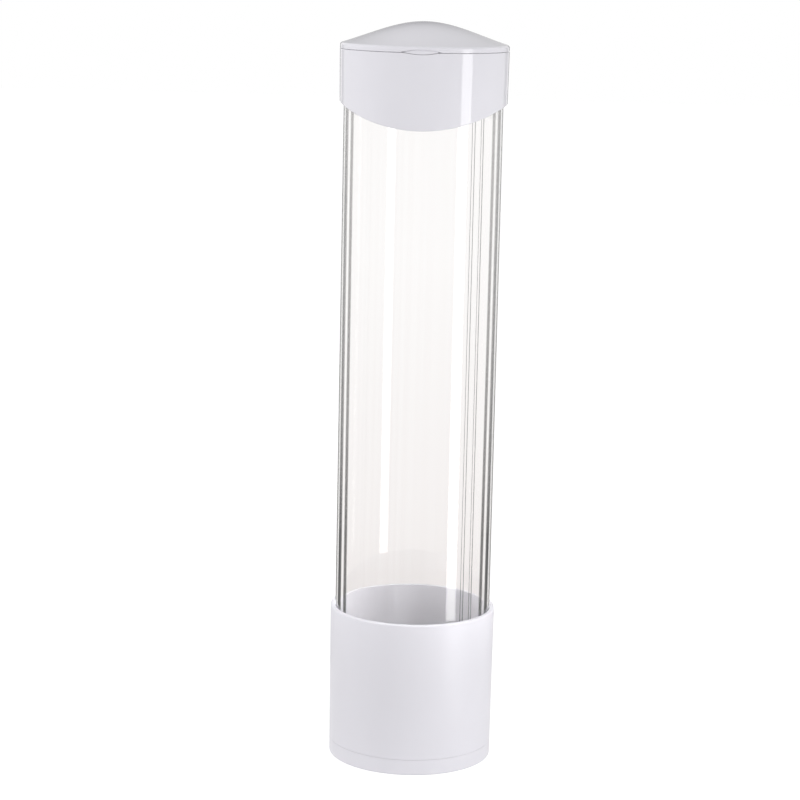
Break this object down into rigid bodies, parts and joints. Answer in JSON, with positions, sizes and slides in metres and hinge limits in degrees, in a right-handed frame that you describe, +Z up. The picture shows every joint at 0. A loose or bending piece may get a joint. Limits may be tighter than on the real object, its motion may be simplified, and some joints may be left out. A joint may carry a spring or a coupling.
{
  "type": "cup dispenser tube",
  "caption": "Tall clear tube that stores a stack of disposable cups under a hinged lid and lets them out one at a time between sprung pawls in its base.",
  "frame": {"origin": "middle of the flat underside of the bottom ring, on the tube's axis", "axes": "+Z up along the tube, -Y towards the front with the lid's finger notch, +Y towards the back with the pads, +X to the right seen from the front"},
  "size_m": [0.0916, 0.0943, 0.4068],
  "materials": {
    "clear_plastic": "clear extruded plastic, polished, with fine lines along its length",
    "gloss_white": "glossy white moulded plastic",
    "satin_white": "satin white moulded plastic",
    "grey_plastic": "plain grey moulded plastic",
    "steel": "bright drawn steel wire and pins",
    "nickel": "nickel-plated magnet discs"
  },
  "bodies": {
    "housing": {"clear_tube": "clear_plastic", "collar": "gloss_white", "base_shell": "satin_white", "bottom_ring": "satin_white", "pawl_carrier": "grey_plastic", "hinge_pin": "steel", "pawl_pin_front": "steel", "pawl_pin_right": "steel", "pawl_pin_back": "steel", "pawl_pin_left": "steel", "pawl_spring_front": "steel", "pawl_spring_right": "steel", "pawl_spring_back": "steel", "pawl_spring_left": "steel", "magnet_upper_left": "nickel", "magnet_upper_right": "nickel", "magnet_lower_left": "nickel", "magnet_lower_right": "nickel"},
    "lid": {"lid": "gloss_white"},
    "pawl_front": {"cup_pawl_front": "grey_plastic"},
    "pawl_right": {"cup_pawl_right": "grey_plastic"},
    "pawl_back": {"cup_pawl_back": "grey_plastic"},
    "pawl_left": {"cup_pawl_left": "grey_plastic"}
  },
  "joints": [
    {"name": "lid_hinge", "type": "hinge", "parent": "housing", "child": "lid", "pos_m": [0, 0.0456, 0.3906], "axis": [-1, 0, 0], "range_deg": [0, 100]},
    {"name": "pawl_front_pivot", "type": "hinge", "parent": "housing", "child": "pawl_front", "pos_m": [0, -0.04099, 0.033], "axis": [-1, 0, 0], "range_deg": [0, 28], "stiffness_Nm_per_rad": 0.022, "springref_deg": -20.05, "deforming": ["pawl_spring_front"]},
    {"name": "pawl_right_pivot", "type": "hinge", "parent": "housing", "child": "pawl_right", "pos_m": [0.04099, 0, 0.033], "axis": [0, -1, 0], "range_deg": [0, 28], "stiffness_Nm_per_rad": 0.022, "springref_deg": -20.05, "deforming": ["pawl_spring_right"]},
    {"name": "pawl_back_pivot", "type": "hinge", "parent": "housing", "child": "pawl_back", "pos_m": [0, 0.04099, 0.033], "axis": [1, 0, 0], "range_deg": [0, 28], "stiffness_Nm_per_rad": 0.022, "springref_deg": -20.05, "deforming": ["pawl_spring_back"]},
    {"name": "pawl_left_pivot", "type": "hinge", "parent": "housing", "child": "pawl_left", "pos_m": [-0.04099, 0, 0.033], "axis": [0, 1, 0], "range_deg": [0, 28], "stiffness_Nm_per_rad": 0.022, "springref_deg": -20.05, "deforming": ["pawl_spring_left"]}
  ]
}
